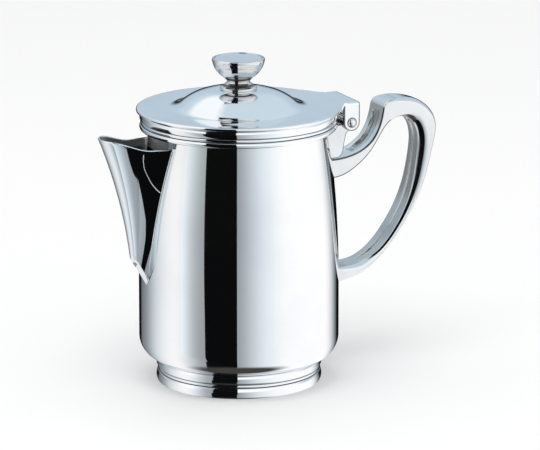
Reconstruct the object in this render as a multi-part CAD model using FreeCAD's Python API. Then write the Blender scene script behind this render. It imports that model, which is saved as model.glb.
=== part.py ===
import FreeCAD, Part
import math
import os

os.makedirs("parts", exist_ok=True)

# A hinged-lid coffee pot. Sizes are in millimetres, +Z is up, and the origin is the centre of the
# foot's underside. The spout points to -X, and the handle and the lid hinge are on the +X side.

# Body: drawn shell with a flat bottom, a rounded lower corner and walls that draw in to the mouth
body_r = 46.0            # largest outside radius
body_h = 107.5           # from the top of the foot to the underside of the rim collar
body_draw_in = 5.0       # how much the radius shrinks between belly and mouth
body_belly_h = 35.0      # straight part of the wall above the foot, where the draw-in starts
body_corner_r = 10.5     # outside radius of the lower corner
body_wall = 0.9          # sheet thickness
solder_gap = 0.05        # joint gap between soldered pieces

# Foot: moulded ring of two bands with a bead between them
foot_inset = 7.9         # foot radius is this much under the body radius
foot_low_h = 4.8         # lower band
foot_bead_h = 1.8        # bead between the bands
foot_up_h = 4.2          # upper band
foot_bulge = 0.7         # how far each band swells
foot_groove = 1.7        # depth of the grooves beside the bead
foot_bead_set = 0.6      # how far the bead lies inside the bands
foot_ring_t = 4.2        # thickness of the ring at its foot
foot_flange_w = 4.0      # inward flange that carries the body
foot_flange_t = 1.4      # thickness of that flange

# Rim collar: moulded ring round the mouth, with a lip over the edge of the shell
collar_step = 4.3        # how far the collar stands out from the mouth
collar_low_h = 2.3       # lower band
collar_bead_h = 1.9      # bead between the bands
collar_up_h = 3.5        # upper band
collar_bulge = 0.5       # how far each band swells
collar_groove = 1.3      # depth of the grooves beside the bead
collar_bead_set = 0.4    # how far the bead lies inside the bands
collar_lip_t = 1.0       # thickness of the lip over the shell's edge
collar_lip_over = 0.15   # how far the lip reaches past the shell's inside

# Spout: sheet beak with an open top, soldered over an opening in the wall
spout_sheet = 1.0        # sheet thickness
spout_reach = 22.4       # how far the tip stands out from the largest body radius
spout_foot_reach = 7.7   # the same at the foot of the keel
spout_bow = 2.1          # how far the keel bows in between its two ends
spout_h = 57.0           # from the foot of the keel up to the tip
spout_tip_rise = 0.4     # tip of the beak above the underside of the collar
spout_rim_drop = 3.8     # beak's edge at the body below the underside of the collar
spout_lip_w = 2.0        # level lip behind the tip
spout_dip_w = 18.0       # length over which the edge dips from the lip towards the body
spout_half_w = 14.8      # half width where the beak's edge meets the body
spout_foot_half_w = 4.0  # half width at the foot of the keel
spout_nose_r = 11.0      # nose radius at the tip
spout_foot_nose_r = 3.6  # nose radius at the foot of the keel
spout_least_lean = 2.0   # least flare of the sides, in degrees
spout_under_drop = 12.7  # how far the closing chin under the beak slopes down to the body
spout_chin_tilt = 42.0   # how steeply the chin's two sides rise from its middle, in degrees
pour_margin = 3.0        # wall left between the opening and the spout's sides
pour_round = 2.0         # corner radius of the opening

# Lid: spun cover with a flat brim, a thick hem and an ogee dome
lid_gap = 0.3            # air between brim and collar when shut
lid_over = 1.5           # how far the brim overhangs the collar
lid_edge_t = 1.6         # thickness of the hem
lid_hem_w = 3.5          # width of the hem
lid_sheet = 0.9          # sheet thickness
lid_brim_w = 13.8        # flat width of the brim outside the dome
lid_dome_h = 8.4         # rise of the dome above the brim
lid_cove_w = 6.5         # width of the hollow curve at the foot of the dome
lid_seat_r = 9.5         # flat seat for the knob

# Hinge: strap with two folded ears on the lid, post on the body, rivet pin through both
pin_r = 1.3              # rivet shank radius
pin_gap = 0.05           # running clearance on the shank
pin_out = 4.1            # pin axis outside the brim's edge
pin_drop = 9.4           # pin axis below the top of the brim
pin_head_r = 2.0         # rivet head radius
pin_head_h = 1.1         # rivet head height
pin_head_gap = 0.2       # end play between head and ear
strap_w = 26.8           # width over the ears
strap_t = 1.5            # thickness of the strap and its ears
strap_flare = 28.0       # polar angle where the strap's flared sides reach the brim, in degrees
strap_blunt = 0.3        # how far each flared side stands off the brim at its end
strap_edge_r = 1.2       # rounded fold over the ears
ear_r = 3.9              # rounded end of each ear
post_eye_r = 3.6         # rounded eye of the post
post_side_gap = 0.35     # clearance between post and ear
post_collar_gap = 0.6    # clearance between post and collar
post_back = 2.9          # how far the post's back lies outside the largest body radius
post_h = 15.7            # height of the post's root on the body
post_toe_r = 4.5         # rounded lower end of the post

# Knob: turned cup on a waisted stem with a disc let into its top, held by a screw from inside
knob_h = 14.5            # from the dome's seat to the rim
knob_r = 12.0            # rim radius
knob_waist_r = 5.1       # waist radius
knob_waist_h = 3.7       # waist above the seat
knob_cup_r = 6.6         # radius at the foot of the cup
knob_cup_h = 5.4         # foot of the cup above the seat
knob_flange_r = 8.5      # base flange radius
knob_flange_t = 1.1      # base flange edge
knob_flare_w = 1.0       # hollow curve under the waist: out from the waist
knob_flare_h = 1.2       # hollow curve under the waist: down from the waist
knob_swell_w = 0.9       # how far the cup's side swells out
knob_swell_h = 0.6       # how far that swell sits below the middle of the side
knob_rim_t = 1.2         # height of the rim's rounded edge
knob_rim_w = 1.1         # width of the rim round the disc
cap_t = 0.9              # thickness of the disc
cap_sink = 0.25          # disc below the rim
cap_gap = 0.05           # joint gap round the disc
screw_r = 2.0            # screw shank radius
screw_gap = 0.1          # clearance round the shank
screw_depth = 8.0        # length of the shank inside the knob
screw_head_r = 3.6       # screw head radius
screw_head_h = 2.2       # screw head height
screw_slot_w = 0.9       # width of the slot in the screw head
screw_slot_t = 0.8       # depth of that slot
washer_r = 6.0           # washer radius
washer_t = 1.0           # washer thickness

# Handle: one cast ear-shaped strap, rounded outside, with a shallow channel on its body side.
# Every curve runs through points given as (out from the largest body radius, up from the collar).
handle_w = 15.0          # width of the strap
handle_crown = 2.0       # how far its outer edges fall away from the crown
handle_bury = 8.0        # how far the roots run inside the body line before they are trimmed
channel_w = 8.0          # width of the channel
channel_t = 0.9          # depth of the channel
upper_root_z = -17.6     # top of the upper root
upper_root_t = 9.6       # height of the upper root
lower_root_z = -69.4     # top of the lower root
lower_root_t = 7.4       # height of the lower root
shoulder = (24.8, 5.5)   # sharp corner between the upper arm and the arch
arm_top = [(3.5, -17.3), (11.5, -15.1), (17.5, -11.0), (21.3, -5.3), (23.6, 1.2)]
arch_grip = [(31.5, 8.9), (42.0, 7.1), (49.4, 1.5), (52.2, -6.0), (51.2, -14.3), (45.4, -34.3)]
grip_low = [(32.5, -55.9), (23.3, -66.7), (14.9, -73.4), (5.5, -76.3)]
arm_under = [(3.0, -25.9), (10.6, -21.9), (17.5, -15.6), (22.9, -7.4), (27.0, -1.9)]
loop_top = [(33.5, 0.2), (39.8, -3.6), (42.5, -11.0), (42.0, -20.3)]
loop_low = [(40.2, -30.8), (37.0, -41.1), (28.2, -56.3), (21.6, -63.4), (15.7, -67.1), (8.5, -69.1)]

# Sizes that follow from the ones above
foot_h = foot_low_h + foot_bead_h + foot_up_h
foot_r = body_r - foot_inset
belly_z = foot_h + body_belly_h
collar_z = foot_h + body_h
collar_h = collar_low_h + collar_bead_h + collar_up_h
collar_top = collar_z + collar_h
mouth_r = body_r - body_draw_in
mouth_z = collar_top - collar_lip_t
neck_z = collar_z
collar_r = mouth_r + collar_step
lid_r = collar_r + lid_over
lid_under = collar_top + lid_gap
lid_top = lid_under + lid_edge_t
dome_r = lid_r - lid_brim_w
seat_z = lid_top + lid_dome_h
pin_x = lid_r + pin_out
pin_z = lid_top - pin_drop
strap_half = strap_w / 2
strap_end = pin_x + ear_r
knob_top = seat_z + knob_h

ORIGIN = FreeCAD.Vector(0, 0, 0)
UP = FreeCAD.Vector(0, 0, 1)
ACROSS = FreeCAD.Vector(0, 1, 0)


def at(x, z):
    return FreeCAD.Vector(x, 0, z)


class Outline:
    """A closed outline in the XZ plane, drawn piece by piece."""

    def __init__(self, x, z):
        self.first = at(x, z)
        self.here = self.first
        self.edges = []

    def line(self, x, z):
        end = at(x, z)
        self.edges.append(Part.LineSegment(self.here, end).toShape())
        self.here = end
        return self

    def arc(self, xm, zm, x, z):
        end = at(x, z)
        self.edges.append(Part.Arc(self.here, at(xm, zm), end).toShape())
        self.here = end
        return self

    def curve(self, points):
        course = Part.BSplineCurve()
        course.interpolate([self.here] + [at(x, z) for x, z in points])
        self.edges.append(course.toShape())
        self.here = at(*points[-1])
        return self

    def face(self):
        if self.here.distanceToPoint(self.first) > 1e-6:
            self.line(self.first.x, self.first.z)
        return Part.Face(Part.Wire(self.edges))

    def turned(self):
        return self.face().revolve(ORIGIN, UP, 360)

    def slab(self, y0, y1):
        face = self.face()
        face.translate(ACROSS * y0)
        return face.extrude(ACROSS * (y1 - y0))


def band(outline, r, bulge, z0, z1):
    """One swelling band of a moulding, up the outside of a turned outline."""
    return outline.arc(r, (z0 + z1) / 2, r - bulge, z1)


def rod(x, z, r, y0, y1):
    return Part.makeCylinder(r, y1 - y0, FreeCAD.Vector(x, y0, z), ACROSS)


def bowed(r0, z0, r1, z1, share):
    """Point on the arc that leaves (r0, z0) straight up and ends at (r1, z1)."""
    fall = r0 - r1
    rise = z1 - z0
    radius = (rise * rise + fall * fall) / (2 * fall)
    angle = share * math.asin(rise / radius)
    return (r0 - radius + radius * math.cos(angle), z0 + radius * math.sin(angle))


# Body shell
def body_form(inset, top):
    """The body's solid form, made smaller by the inset, up to a given height."""
    flat_r = body_r - body_corner_r
    corner = body_corner_r - inset
    corner_z = foot_h + body_corner_r
    slant = corner * math.sqrt(0.5)
    form = Outline(0, foot_h + inset)
    form.line(flat_r, foot_h + inset)
    form.arc(flat_r + slant, corner_z - slant, flat_r + corner, corner_z)
    form.line(body_r - inset, belly_z)
    mid = bowed(body_r - inset, belly_z, mouth_r - inset, neck_z, 0.5)
    form.arc(mid[0], mid[1], mouth_r - inset, neck_z)
    form.line(mouth_r - inset, top)
    form.line(0, top)
    return form.turned()


def wall_r(z):
    """Outside radius of the body at a height on its drawn-in wall."""
    if z <= belly_z:
        return body_r
    fall = body_draw_in
    rise = neck_z - belly_z
    radius = (rise * rise + fall * fall) / (2 * fall)
    up = min(z, neck_z) - belly_z
    return body_r - radius + math.sqrt(radius * radius - up * up)


trim_form = body_form(-solder_gap, mouth_z)

# Spout: level U-shaped sections with a broad nose, stacked along a bowed keel
tip_z = collar_z + spout_tip_rise
keel_foot_z = tip_z - spout_h
rim_z = collar_z - spout_rim_drop


def keel_x(z):
    """How far out the keel lies at a height."""
    share = (z - keel_foot_z) / spout_h
    straight = spout_foot_reach + (spout_reach - spout_foot_reach) * share
    return -(body_r + straight - 4 * spout_bow * share * (1 - share))


def side_w(z):
    """Half width of the spout where it meets the body at a height."""
    share = (z - keel_foot_z) / (rim_z - keel_foot_z)
    return spout_foot_half_w + (spout_half_w - spout_foot_half_w) * share


def nose_r(z):
    share = (z - keel_foot_z) / spout_h
    return spout_foot_nose_r + (spout_nose_r - spout_foot_nose_r) * share


def beak_section(z, inset):
    """Level section of the spout, from inside the body round the nose and back."""
    nose = nose_r(z)
    centre = keel_x(z) + nose
    half = side_w(z)
    root = -math.sqrt(max(wall_r(z) ** 2 - half ** 2, 1.0))
    run = root - centre
    reach = math.hypot(run, half)
    lean = max(math.atan2(half, run) - math.asin(nose / reach), math.radians(spout_least_lean))
    radius = nose - inset
    side_x = centre - radius * math.sin(lean)
    side_y = radius * math.cos(lean)
    back_x = -mouth_r / 2
    back_y = side_y + (back_x - side_x) * math.tan(lean)
    near_back = FreeCAD.Vector(back_x, -back_y, z)
    near_side = FreeCAD.Vector(side_x, -side_y, z)
    nose_tip = FreeCAD.Vector(centre - radius, 0, z)
    far_side = FreeCAD.Vector(side_x, side_y, z)
    far_back = FreeCAD.Vector(back_x, back_y, z)
    edges = [Part.LineSegment(near_back, near_side).toShape()]
    edges.append(Part.Arc(near_side, nose_tip, far_side).toShape())
    edges.append(Part.LineSegment(far_side, far_back).toShape())
    edges.append(Part.LineSegment(far_back, near_back).toShape())
    return Part.Wire(edges)


def beak(inset):
    low = keel_foot_z - spout_under_drop
    high = tip_z + 2 * spout_sheet
    steps = 6
    heights = [low + (high - low) * i / steps for i in range(steps + 1)]
    return Part.makeLoft([beak_section(z, inset) for z in heights], True, False)


def under_chin(lift, side):
    """Everything below one side of the keeled chin that closes the beak's underside."""
    keel = keel_x(keel_foot_z) - lift
    slope = spout_under_drop / (-body_r - keel)
    out_x = 2 * keel
    in_x = -mouth_r / 3
    below = Outline(out_x, keel_foot_z + lift - slope * (out_x - keel))
    below.line(in_x, keel_foot_z + lift - slope * (in_x - keel))
    below.line(in_x, -body_h)
    below.line(out_x, -body_h)
    sideways = FreeCAD.Vector(0, body_r, side * body_r * math.tan(math.radians(spout_chin_tilt)))
    face = below.face()
    face.translate(sideways * -1)
    return face.extrude(sideways * 2)


def above_rim():
    """Everything above the beak's edge, which dips from the level lip in one smooth sway."""
    lip_x = keel_x(tip_z) + spout_lip_w
    dip_x = lip_x + spout_dip_w
    in_x = -mouth_r / 3
    out_x = 2 * keel_x(tip_z)
    sway = 2 * math.atan((tip_z - rim_z) / spout_dip_w)
    sway_r = spout_dip_w / 2 / math.sin(sway)
    step = sway_r * math.sin(sway / 2)
    fall = sway_r * (1 - math.cos(sway / 2))
    above = Outline(in_x, rim_z).line(dip_x, rim_z)
    above.arc(dip_x - step, rim_z + fall, (lip_x + dip_x) / 2, (tip_z + rim_z) / 2)
    above.arc(lip_x + step, tip_z - fall, lip_x, tip_z)
    above.line(out_x, tip_z)
    above.line(out_x, tip_z + body_r)
    above.line(in_x, tip_z + body_r)
    return above.slab(-body_r, body_r)


outer_beak = beak(0).cut(under_chin(0, -1)).cut(under_chin(0, 1))
inner_beak = beak(spout_sheet).cut(under_chin(spout_sheet, -1)).cut(under_chin(spout_sheet, 1))
spout = outer_beak.cut(inner_beak).cut(above_rim()).cut(trim_form)
spout = max(spout.Solids, key=lambda solid: solid.Volume)
spout.exportStep("parts/spout.step")

# Opening in the wall behind the spout
pour_top = rim_z - pour_margin
pour_low = keel_foot_z + 2 * pour_margin
top_half = side_w(pour_top) - pour_margin
low_half = max(side_w(pour_low) - pour_margin, pour_round * 1.1)
pour_points = [(-top_half, pour_top), (top_half, pour_top), (low_half, pour_low), (-low_half, pour_low)]
pour_loop = [FreeCAD.Vector(-body_r * 1.2, y, z) for y, z in pour_points + pour_points[:1]]
opening = Part.Face(Part.makePolygon(pour_loop)).extrude(FreeCAD.Vector(body_r * 0.7, 0, 0))
long_edges = [e for e in opening.Edges if abs(e.tangentAt(e.FirstParameter).x) > 0.9]
opening = opening.makeFillet(pour_round, long_edges)

body_shell = body_form(0, mouth_z).cut(body_form(body_wall, mouth_z + body_wall))
body_shell = body_shell.cut(opening)
body_shell.exportStep("parts/body_shell.step")

# Foot ring
foot_edge = foot_r - foot_bulge
foot_bead_z = foot_low_h + foot_bead_h
foot_bore_r = foot_edge - foot_ring_t
foot = Outline(foot_bore_r, 0).line(foot_edge, 0)
band(foot, foot_r, foot_bulge, 0, foot_low_h)
foot.line(foot_r - foot_groove, foot_low_h)
foot.arc(foot_r - foot_bead_set, foot_low_h + foot_bead_h / 2, foot_r - foot_groove, foot_bead_z)
foot.line(foot_edge, foot_bead_z)
band(foot, foot_r, foot_bulge, foot_bead_z, foot_h)
foot.line(foot_bore_r - foot_flange_w, foot_h)
foot.line(foot_bore_r - foot_flange_w, foot_h - foot_flange_t)
foot.line(foot_bore_r, foot_h - foot_flange_t)
foot.turned().exportStep("parts/foot_ring.step")

# Rim collar
collar_edge = collar_r - collar_bulge
collar_bore = mouth_r + solder_gap
bead_z0 = collar_z + collar_low_h
bead_z1 = bead_z0 + collar_bead_h
lip_r = mouth_r - body_wall - collar_lip_over
collar = Outline(collar_bore, collar_z).line(collar_edge, collar_z)
band(collar, collar_r, collar_bulge, collar_z, bead_z0)
collar.line(collar_r - collar_groove, bead_z0)
collar.arc(collar_r - collar_bead_set, (bead_z0 + bead_z1) / 2, collar_r - collar_groove, bead_z1)
collar.line(collar_edge, bead_z1)
band(collar, collar_r, collar_bulge, bead_z1, collar_top)
collar.line(lip_r, collar_top)
collar.line(lip_r, mouth_z)
collar.line(collar_bore, mouth_z)
collar.turned().exportStep("parts/rim_collar.step")

# Lid cover: the dome is a hollow curve and a round curve that meet without a corner
dome_w = dome_r - lid_seat_r
swing = 2 * math.atan(lid_dome_h / dome_w)
cove_r = lid_cove_w / math.sin(swing)
crown_r = (dome_w - lid_cove_w) / math.sin(swing)


def dome_line(inset):
    """Points on the dome's section, from the seat out to the brim."""
    crown = crown_r - inset
    cove = cove_r + inset
    crown_z = seat_z - crown_r
    cove_z = lid_top + cove_r
    half = swing / 2
    mid_crown = (lid_seat_r + crown * math.sin(half), crown_z + crown * math.cos(half))
    meet = (lid_seat_r + crown * math.sin(swing), crown_z + crown * math.cos(swing))
    mid_cove = (dome_r - cove * math.sin(half), cove_z - cove * math.cos(half))
    return mid_crown, meet, mid_cove


knob_hole_r = screw_r + screw_gap
over_crown, over_meet, over_cove = dome_line(0)
under_crown, under_meet, under_cove = dome_line(lid_sheet)
edge_z = (lid_under + lid_top) / 2
edge_r = lid_edge_t / 2
cover = Outline(knob_hole_r, seat_z).line(lid_seat_r, seat_z)
cover.arc(*over_crown, *over_meet)
cover.arc(*over_cove, dome_r, lid_top)
cover.line(lid_r - edge_r, lid_top)
cover.arc(lid_r, edge_z, lid_r - edge_r, lid_under)
cover.line(lid_r - lid_hem_w, lid_under)
cover.line(lid_r - lid_hem_w, lid_top - lid_sheet)
cover.line(dome_r, lid_top - lid_sheet)
cover.arc(*under_cove, *under_meet)
cover.arc(*under_crown, lid_seat_r, seat_z - lid_sheet)
cover.line(knob_hole_r, seat_z - lid_sheet)
cover.turned().exportStep("parts/lid_cover.step")

# Hinge strap: flared tongue from the brim's edge, with an ear folded down at each side
flare = math.radians(strap_flare)
flare_out = lid_r + strap_blunt
flare_in = lid_r - strap_t
ear_x = pin_x - ear_r
strap_low = lid_top - strap_t
half_plan = [(strap_end, strap_half), (ear_x, strap_half)]
half_plan.append((flare_out * math.cos(flare), flare_out * math.sin(flare)))
half_plan.append((flare_in * math.cos(flare), flare_in * math.sin(flare)))
strap_plan = half_plan + [(x, -y) for x, y in half_plan[::-1]]
tongue = [FreeCAD.Vector(x, y, strap_low) for x, y in strap_plan + strap_plan[:1]]
strap = Part.Face(Part.makePolygon(tongue)).extrude(UP * strap_t)
strap = strap.cut(Part.makeCylinder(lid_r + solder_gap, lid_top + strap_t))
for side in (-1, 1):
    y0 = min(side * strap_half, side * (strap_half - strap_t))
    ear = Outline(ear_x, lid_top).line(ear_x, pin_z)
    ear.arc(pin_x, pin_z - ear_r, strap_end, pin_z)
    ear.line(strap_end, lid_top)
    strap = strap.fuse(ear.slab(y0, y0 + strap_t))
strap = strap.removeSplitter()
folds = []
for edge in strap.Edges:
    middle = edge.valueAt((edge.FirstParameter + edge.LastParameter) / 2)
    on_fold = abs(abs(middle.y) - strap_half) < 1e-6 and abs(middle.z - lid_top) < 1e-6
    if on_fold and middle.x > ear_x:
        folds.append(edge)
strap = strap.makeFillet(strap_edge_r, folds)
strap = strap.cut(rod(pin_x, pin_z, pin_r + pin_gap, -strap_w, strap_w))
strap.exportStep("parts/hinge_strap.step")

# Hinge post on the body, under the collar and between the ears
post_half = strap_half - strap_t - post_side_gap
post_top = collar_z - post_collar_gap
post_low = post_top - post_h
post_x = body_r + post_back
post_in = mouth_r / 2
post = Outline(post_in, post_top).line(pin_x - post_eye_r, post_top)
post.line(pin_x - post_eye_r, pin_z)
post.arc(pin_x, pin_z + post_eye_r, pin_x + post_eye_r, pin_z)
post.line(post_x, pin_z - 1.5 * post_eye_r)
post.line(post_x - post_toe_r * 0.3, post_low + post_toe_r)
post.arc(post_x - post_toe_r * 0.5, post_low + post_toe_r * 0.35, post_x - post_toe_r, post_low)
post.line(post_in, post_low)
post = post.slab(-post_half, post_half).cut(trim_form)
post = max(post.Solids, key=lambda solid: solid.Volume)
post = post.cut(rod(pin_x, pin_z, pin_r + pin_gap, -strap_w, strap_w))
post.exportStep("parts/hinge_post.step")

# Rivet pin with a domed head at each end
head_y = strap_half + pin_head_gap
pin = Part.makeCylinder(pin_r, 2 * head_y, FreeCAD.Vector(pin_x, -head_y, pin_z), ACROSS)
dome_radius = (pin_head_r ** 2 + pin_head_h ** 2) / (2 * pin_head_h)
for side in (-1, 1):
    middle_y = side * (head_y + pin_head_h - dome_radius)
    ball = Part.makeSphere(dome_radius, FreeCAD.Vector(pin_x, middle_y, pin_z))
    outside = rod(pin_x, pin_z, pin_head_r, head_y, head_y + 2 * pin_head_h)
    if side < 0:
        outside = rod(pin_x, pin_z, pin_head_r, -head_y - 2 * pin_head_h, -head_y)
    pin = pin.fuse(ball.common(outside))
pin = pin.removeSplitter()
pin.exportStep("parts/hinge_pin.step")

# Knob
cap_r = knob_r - knob_rim_w
cap_low = knob_top - cap_sink - cap_t
cup_z = seat_z + knob_cup_h
rim_low = knob_top - knob_rim_t
waist_z = seat_z + knob_waist_h
swell_x = (knob_cup_r + knob_r) / 2 + knob_swell_w
swell_z = (cup_z + rim_low) / 2 - knob_swell_h
knob = Outline(knob_hole_r, seat_z).line(knob_flange_r, seat_z)
knob.line(knob_flange_r, seat_z + knob_flange_t)
knob.curve([(knob_waist_r + knob_flare_w, waist_z - knob_flare_h), (knob_waist_r, waist_z)])
knob.line(knob_cup_r, cup_z)
knob.arc(swell_x, swell_z, knob_r, rim_low)
knob.arc(knob_r - knob_rim_w * 0.1, knob_top - knob_rim_t * 0.25, knob_r - knob_rim_w * 0.5, knob_top)
knob.line(cap_r + cap_gap, knob_top)
knob.line(cap_r + cap_gap, cap_low)
knob.line(0, cap_low)
knob.line(0, seat_z + screw_depth)
knob.line(knob_hole_r, seat_z + screw_depth)
knob.turned().exportStep("parts/knob.step")

cap = Outline(0, cap_low).line(cap_r, cap_low).line(cap_r, cap_low + cap_t * 0.7)
cap.line(cap_r - cap_t * 0.3, cap_low + cap_t).line(0, cap_low + cap_t)
cap.turned().exportStep("parts/knob_cap.step")

# Washer and screw inside the lid
washer_z = seat_z - lid_sheet - washer_t
washer = Part.makeCylinder(washer_r, washer_t, at(0, washer_z))
washer = washer.cut(Part.makeCylinder(knob_hole_r, washer_t, at(0, washer_z)))
washer.exportStep("parts/knob_washer.step")

screw_z = washer_z - screw_head_h
screw = Outline(0, screw_z).line(screw_head_r * 0.6, screw_z)
screw.arc(screw_head_r * 0.92, washer_z - screw_head_h * 0.72, screw_head_r, washer_z - screw_head_h * 0.3)
screw.line(screw_head_r, washer_z)
screw.line(screw_r, washer_z)
screw.line(screw_r, seat_z + screw_depth - 2 * screw_gap)
screw.line(0, seat_z + screw_depth - 2 * screw_gap)
slot_at = FreeCAD.Vector(-screw_head_r, -screw_slot_w / 2, screw_z)
slot = Part.makeBox(2 * screw_head_r, screw_slot_w, screw_slot_t, slot_at)
screw.turned().cut(slot).exportStep("parts/knob_screw.step")


# Handle: the outline is drawn at stations across the width and lofted, so the outside is crowned
def held(points):
    return [(body_r + x, collar_z + z) for x, z in points]


def shifted(points, step):
    """The points moved sideways, to the right of their course for a positive step."""
    moved = []
    for i, (x, z) in enumerate(points):
        before = points[max(i - 1, 0)]
        after = points[min(i + 1, len(points) - 1)]
        run = after[0] - before[0]
        rise = after[1] - before[1]
        length = math.hypot(run, rise)
        moved.append((x + step * rise / length, z - step * run / length))
    return moved


arm_line = [(-handle_bury, upper_root_z)] + arm_top + [shoulder]
crown_line = [shoulder] + arch_grip + grip_low + [(-handle_bury, lower_root_z - lower_root_t)]
under_line = [(-handle_bury, upper_root_z - upper_root_t)] + arm_under + loop_top + loop_low
under_line.append((-handle_bury, lower_root_z))


def handle_wire(share):
    """The handle's outline at a share of its half width."""
    inset = handle_crown * (1 - math.sqrt(1 - min(share * share, 0.96)))
    crown = shifted(crown_line, inset)
    crown[0] = shoulder
    outline = Outline(*held(arm_line)[0])
    outline.curve(held(arm_line[1:]))
    outline.curve(held(crown[1:]))
    outline.line(*held(under_line)[-1])
    outline.curve(held(under_line[::-1][1:]))
    wire = Part.Wire(outline.face().OuterWire)
    wire.translate(ACROSS * (share * handle_w / 2))
    return wire


def channel(points):
    """A shallow channel along one face of the handle, sunk to the right of the points' course."""
    floor = shifted(points, channel_t)
    air = shifted(points, -channel_t)
    groove = Outline(*held(air)[0])
    groove.curve(held(air[1:]))
    groove.line(*held(floor)[-1])
    groove.curve(held(floor[::-1][1:]))
    return groove.slab(-channel_w / 2, channel_w / 2)


stations = (-1.0, -0.8, -0.4, 0.0, 0.4, 0.8, 1.0)
handle = Part.makeLoft([handle_wire(share) for share in stations], True, False)
handle = handle.cut(channel(arm_line[2:-1]))
handle = handle.cut(channel((loop_top[1:] + loop_low[:-2])[::-1]))
handle = handle.cut(trim_form)
handle = max(handle.Solids, key=lambda solid: solid.Volume)
handle.exportStep("parts/handle.step")
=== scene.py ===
# %% [markdown]
# # A polished coffee pot with a hinged lid
# The pot is drawn, spun and cast in steel, then polished until it mirrors the room. This lesson
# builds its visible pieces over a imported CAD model, which stays underneath as the fixed frame.
# Every piece is modelled in the CAD's own place and in metres, so nothing has to be fitted.

# %% Load the frame
import math

import bmesh
import bpy
import numpy as np
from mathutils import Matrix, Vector


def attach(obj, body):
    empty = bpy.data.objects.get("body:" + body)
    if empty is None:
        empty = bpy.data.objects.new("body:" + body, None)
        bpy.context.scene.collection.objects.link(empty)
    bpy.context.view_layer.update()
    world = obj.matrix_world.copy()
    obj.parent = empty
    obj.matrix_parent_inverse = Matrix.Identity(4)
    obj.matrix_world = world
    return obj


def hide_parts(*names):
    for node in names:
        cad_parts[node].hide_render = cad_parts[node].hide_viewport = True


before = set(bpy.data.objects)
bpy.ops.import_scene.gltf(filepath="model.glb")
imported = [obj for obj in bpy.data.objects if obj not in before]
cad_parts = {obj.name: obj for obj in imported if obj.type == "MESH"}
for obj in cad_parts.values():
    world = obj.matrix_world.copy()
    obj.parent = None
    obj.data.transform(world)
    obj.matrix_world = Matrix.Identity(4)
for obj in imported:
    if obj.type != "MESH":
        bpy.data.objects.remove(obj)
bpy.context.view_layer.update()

MM = 0.001

# %% [markdown]
# ## Camera
# A catalogue picture of a pot is taken from a little above the rim with a long lens, so that the
# walls stay upright. The lens could also be short and close, but then the spout would loom. Two
# metres away and about fourteen degrees up gives the calm, flat look of such pictures.

# %% Camera
PICTURE_W = 540
VIEW_TURN = math.radians(-24.0)
VIEW_RISE = math.radians(13.9)
VIEW_AWAY = 2.0
PIXELS_PER_RADIAN = 4358.0
aim = Vector((13.12, -5.84, 72.3)) * MM
to_camera = Vector((math.sin(VIEW_TURN) * math.cos(VIEW_RISE),
                    -math.cos(VIEW_TURN) * math.cos(VIEW_RISE),
                    math.sin(VIEW_RISE)))
camera = bpy.data.objects.new("camera", bpy.data.cameras.new("camera"))
camera.data.sensor_width = 36.0
camera.data.lens = camera.data.sensor_width * PIXELS_PER_RADIAN / PICTURE_W
camera.location = aim + to_camera * VIEW_AWAY
camera.rotation_euler = (-to_camera).to_track_quat("-Z", "Y").to_euler()
bpy.context.scene.collection.objects.link(camera)
bpy.context.scene.camera = camera
print("lens", round(camera.data.lens, 1), "mm at", [round(v, 3) for v in camera.location])

# %% [markdown]
# ## Node sums in plain Python
# Shader and geometry trees are easier to read as sums. The class Wire stands for one socket: adding
# or multiplying wires adds Math nodes. The class Bench holds a tree and has the one method that
# makes any other node, so each node is written in a single line.


# %% Wires and benches
class Wire:
    """A node's output that can be used in sums."""

    def __init__(self, bench, socket):
        self.bench = bench
        self.socket = socket

    def also(self, name):
        """Another output of the same node."""
        return Wire(self.bench, self.socket.node.outputs[name])

    def sum(self, operation, first, second=0.0):
        """The output of a Math node."""
        return self.bench.node("ShaderNodeMath", {"operation": operation}, {0: first, 1: second})

    def __add__(self, other):
        return self.sum("ADD", self, other)

    def __radd__(self, other):
        return self.sum("ADD", other, self)

    def __sub__(self, other):
        return self.sum("SUBTRACT", self, other)

    def __rsub__(self, other):
        return self.sum("SUBTRACT", other, self)

    def __mul__(self, other):
        return self.sum("MULTIPLY", self, other)

    def __rmul__(self, other):
        return self.sum("MULTIPLY", other, self)

    def size(self):
        return self.sum("ABSOLUTE", self)

    def root(self):
        return self.sum("SQRT", self)

    def larger(self, other):
        return self.sum("MAXIMUM", self, other)

    def above(self, low, high):
        """A soft step: 0 below low, 1 above high."""
        return self.bench.node("ShaderNodeMapRange", {"interpolation_type": "SMOOTHSTEP"},
                               {"Value": self, "From Min": low, "From Max": high})


class Bench:
    """A node tree with one way of adding nodes."""

    def __init__(self, tree):
        self.tree = tree
        tree.nodes.clear()

    def node(self, kind, settings=None, feeds=None, out=0):
        """A node of a kind, with its settings, and the values or wires that feed its sockets."""
        made = self.tree.nodes.new(kind)
        for name, value in (settings or {}).items():
            if name == "stops":
                set_stops(made.color_ramp, value)
            else:
                setattr(made, name, value)
        for key, value in (feeds or {}).items():
            if isinstance(value, Wire):
                self.tree.links.new(value.socket, made.inputs[key])
            else:
                made.inputs[key].default_value = value
        return Wire(self, made.outputs[out]) if len(made.outputs) else made

    def mix(self, share, first, second):
        """A colour between two colours."""
        return self.node("ShaderNodeMix", {"data_type": "RGBA"}, {0: share, 6: first, 7: second}, 2)

    def split(self, vector):
        """A vector's X, whose node also has its Y and Z."""
        return self.node("ShaderNodeSeparateXYZ", None, {"Vector": vector})

    def noise(self, place, scale, detail):
        return self.node("ShaderNodeTexNoise", None, {"Vector": place, "Scale": scale, "Detail": detail})


def set_stops(ramp, stops):
    """Smooth changes from each stop's colour to the next."""
    ramp.interpolation = "B_SPLINE"
    while len(ramp.elements) < len(stops):
        ramp.elements.new(1.0)
    for element, (place, colour) in zip(ramp.elements, stops):
        element.position = place
        element.color = (*colour, 1.0)


print("Wire and Bench are ready")

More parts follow.
